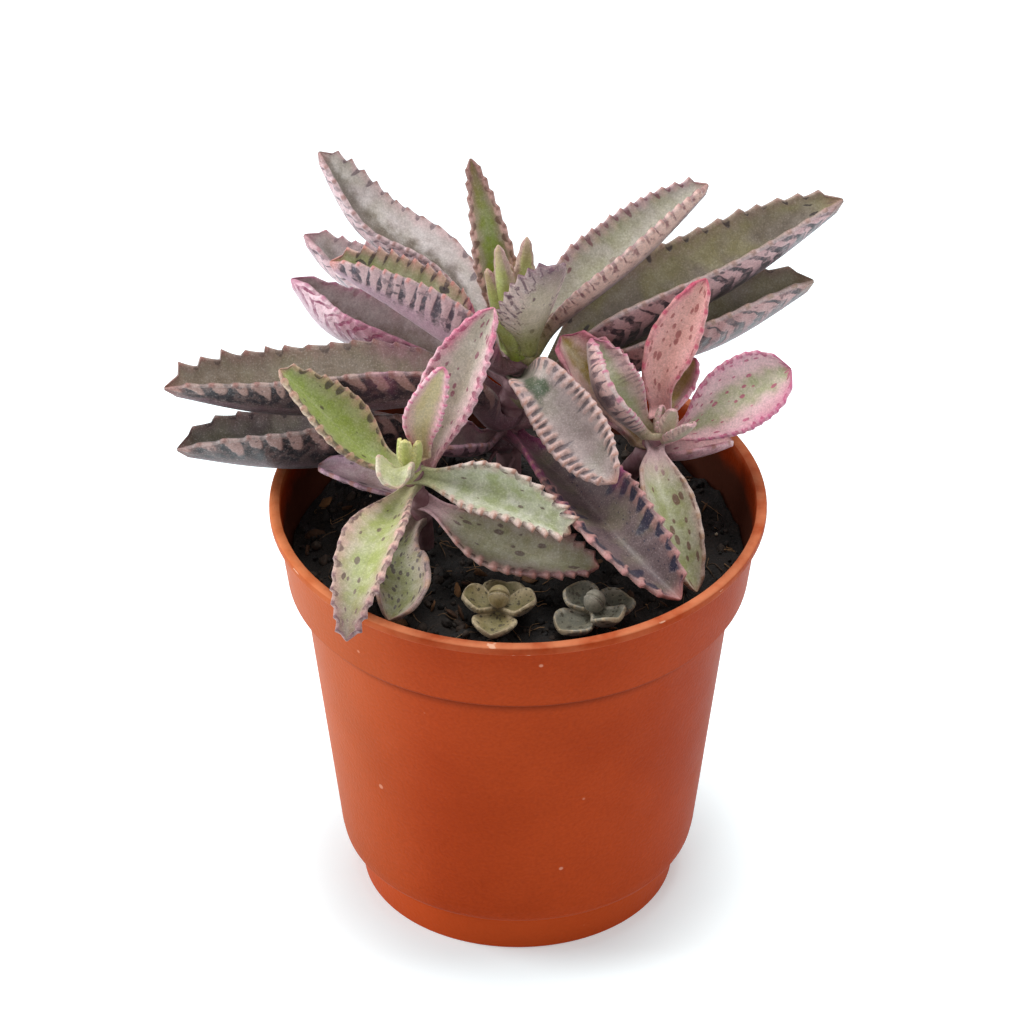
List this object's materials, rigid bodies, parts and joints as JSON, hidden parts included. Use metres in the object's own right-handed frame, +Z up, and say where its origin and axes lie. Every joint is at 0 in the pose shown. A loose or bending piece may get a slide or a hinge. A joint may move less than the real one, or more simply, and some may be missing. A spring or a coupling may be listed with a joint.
{
  "type": "potted pink butterflies kalanchoe",
  "caption": "A small pink and green succulent with toothed canoe-shaped leaves on several stems, growing in soil in a stepped plastic nursery pot.",
  "frame": {"origin": "The middle of the pot's underside, on the surface that it stands on.", "axes": "Z is up along the pot's axis. -Y is the front of the pot as pictured, and +X is to the right of the front."},
  "size_m": [0.143, 0.1148, 0.1585],
  "materials": {
    "pot_plastic": "satin orange plastic with a soft sheen",
    "potting_soil": "dark crumbly potting soil with fibres",
    "stem": "dull brownish pink stem skin",
    "leaf": "waxy grey-green and pink leaf with dark streaks",
    "plantlet": "dull olive green plantlet leaf"
  },
  "bodies": {
    "root": {"pot": "pot_plastic", "soil": "potting_soil", "main_stem": "stem", "left_stem": "stem", "right_stem": "stem", "main_leaf_left_high": "leaf", "main_leaf_left_second": "leaf", "main_leaf_left_third": "leaf", "main_leaf_left_inner": "leaf", "main_leaf_left_long": "leaf", "main_leaf_left_low": "leaf", "main_leaf_left_small": "leaf", "main_leaf_upright": "leaf", "main_leaf_crown_front": "leaf", "main_leaf_right_high": "leaf", "main_leaf_right_long": "leaf", "main_leaf_right_low": "leaf", "main_leaf_front_bent": "leaf", "main_leaf_front_low": "leaf", "left_leaf_back": "leaf", "left_leaf_upright": "leaf", "left_leaf_upright_small": "leaf", "left_leaf_right_upper": "leaf", "left_leaf_right_lower": "leaf", "left_leaf_over_rim": "leaf", "left_leaf_front_low": "leaf", "left_leaf_side_small": "leaf", "left_leaf_crown_front": "leaf", "right_leaf_upright": "leaf", "right_leaf_upright_small": "leaf", "right_leaf_outer": "leaf", "right_leaf_outer_low": "leaf", "right_leaf_inner_front": "leaf", "right_leaf_inner_back": "leaf", "right_leaf_hanging": "leaf", "plantlet_left": "plantlet", "plantlet_right": "plantlet"}
  },
  "joints": []
}
